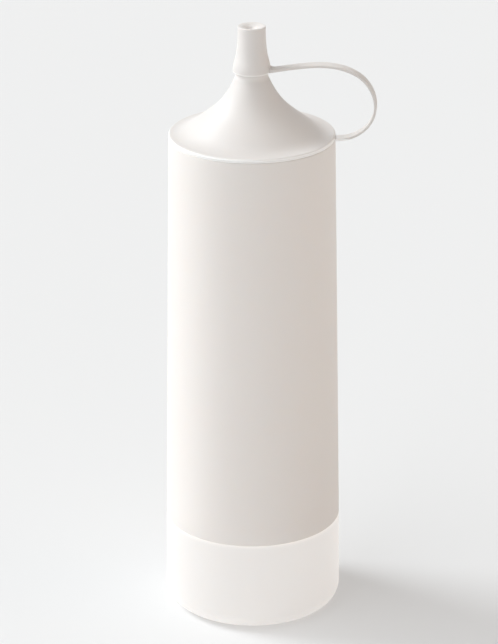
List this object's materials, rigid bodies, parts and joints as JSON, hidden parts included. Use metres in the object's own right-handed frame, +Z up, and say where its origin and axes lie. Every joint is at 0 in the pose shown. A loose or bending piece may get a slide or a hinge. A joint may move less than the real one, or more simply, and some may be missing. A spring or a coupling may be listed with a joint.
{
  "type": "condiment squeeze bottle",
  "caption": "Tall tapered squeeze bottle: frosted base, soft grip sleeve, trumpet-shaped screw lid, and a small nozzle cap on a looped flexible strap.",
  "frame": {"origin": "centre of the underside, at the level of the ring that the bottle stands on", "axes": "+Z up along the bottle's axis, +X towards the strap's loop, which lies in the XZ plane"},
  "size_m": [0.0776, 0.0654, 0.2246],
  "materials": {
    "frosted_shell": "frosted translucent, satin",
    "soft_sleeve": "opaque warm white, matt",
    "lid_shell": "opaque warm white, matt",
    "soft_strap": "opaque warm white, flexible, matt",
    "seal": "translucent white, matt"
  },
  "bodies": {
    "bottle": {"bottle": "frosted_shell", "grip_sleeve": "soft_sleeve"},
    "gasket": {"lid_gasket": "seal"},
    "lid": {"lid": "lid_shell"},
    "tether": {"tether_ring": "soft_strap", "cap_strap": "soft_strap"},
    "cap": {"nozzle_cap": "soft_strap"}
  },
  "joints": [
    {"name": "lid_lift", "type": "slide", "parent": "bottle", "child": "gasket", "axis": [0, 0, 1], "range_m": [0, 0.012]},
    {"name": "lid_turn", "type": "hinge", "parent": "gasket", "child": "lid", "pos_m": [0, 0, 0.1778], "axis": [0, 0, 1], "range_deg": [0, 1080]},
    {"name": "tether_swivel", "type": "hinge", "parent": "lid", "child": "tether", "pos_m": [0, 0, 0.18355], "axis": [0, 0, 1], "continuous": true},
    {"name": "cap_pull", "type": "slide", "parent": "tether", "child": "cap", "axis": [0, 0, 1], "range_m": [0, 0.018], "deforming": ["cap_strap"]}
  ],
  "couplings": [
    {"joint": "lid_lift", "follows": "lid_turn", "m_per_rad": 0.0006366}
  ]
}
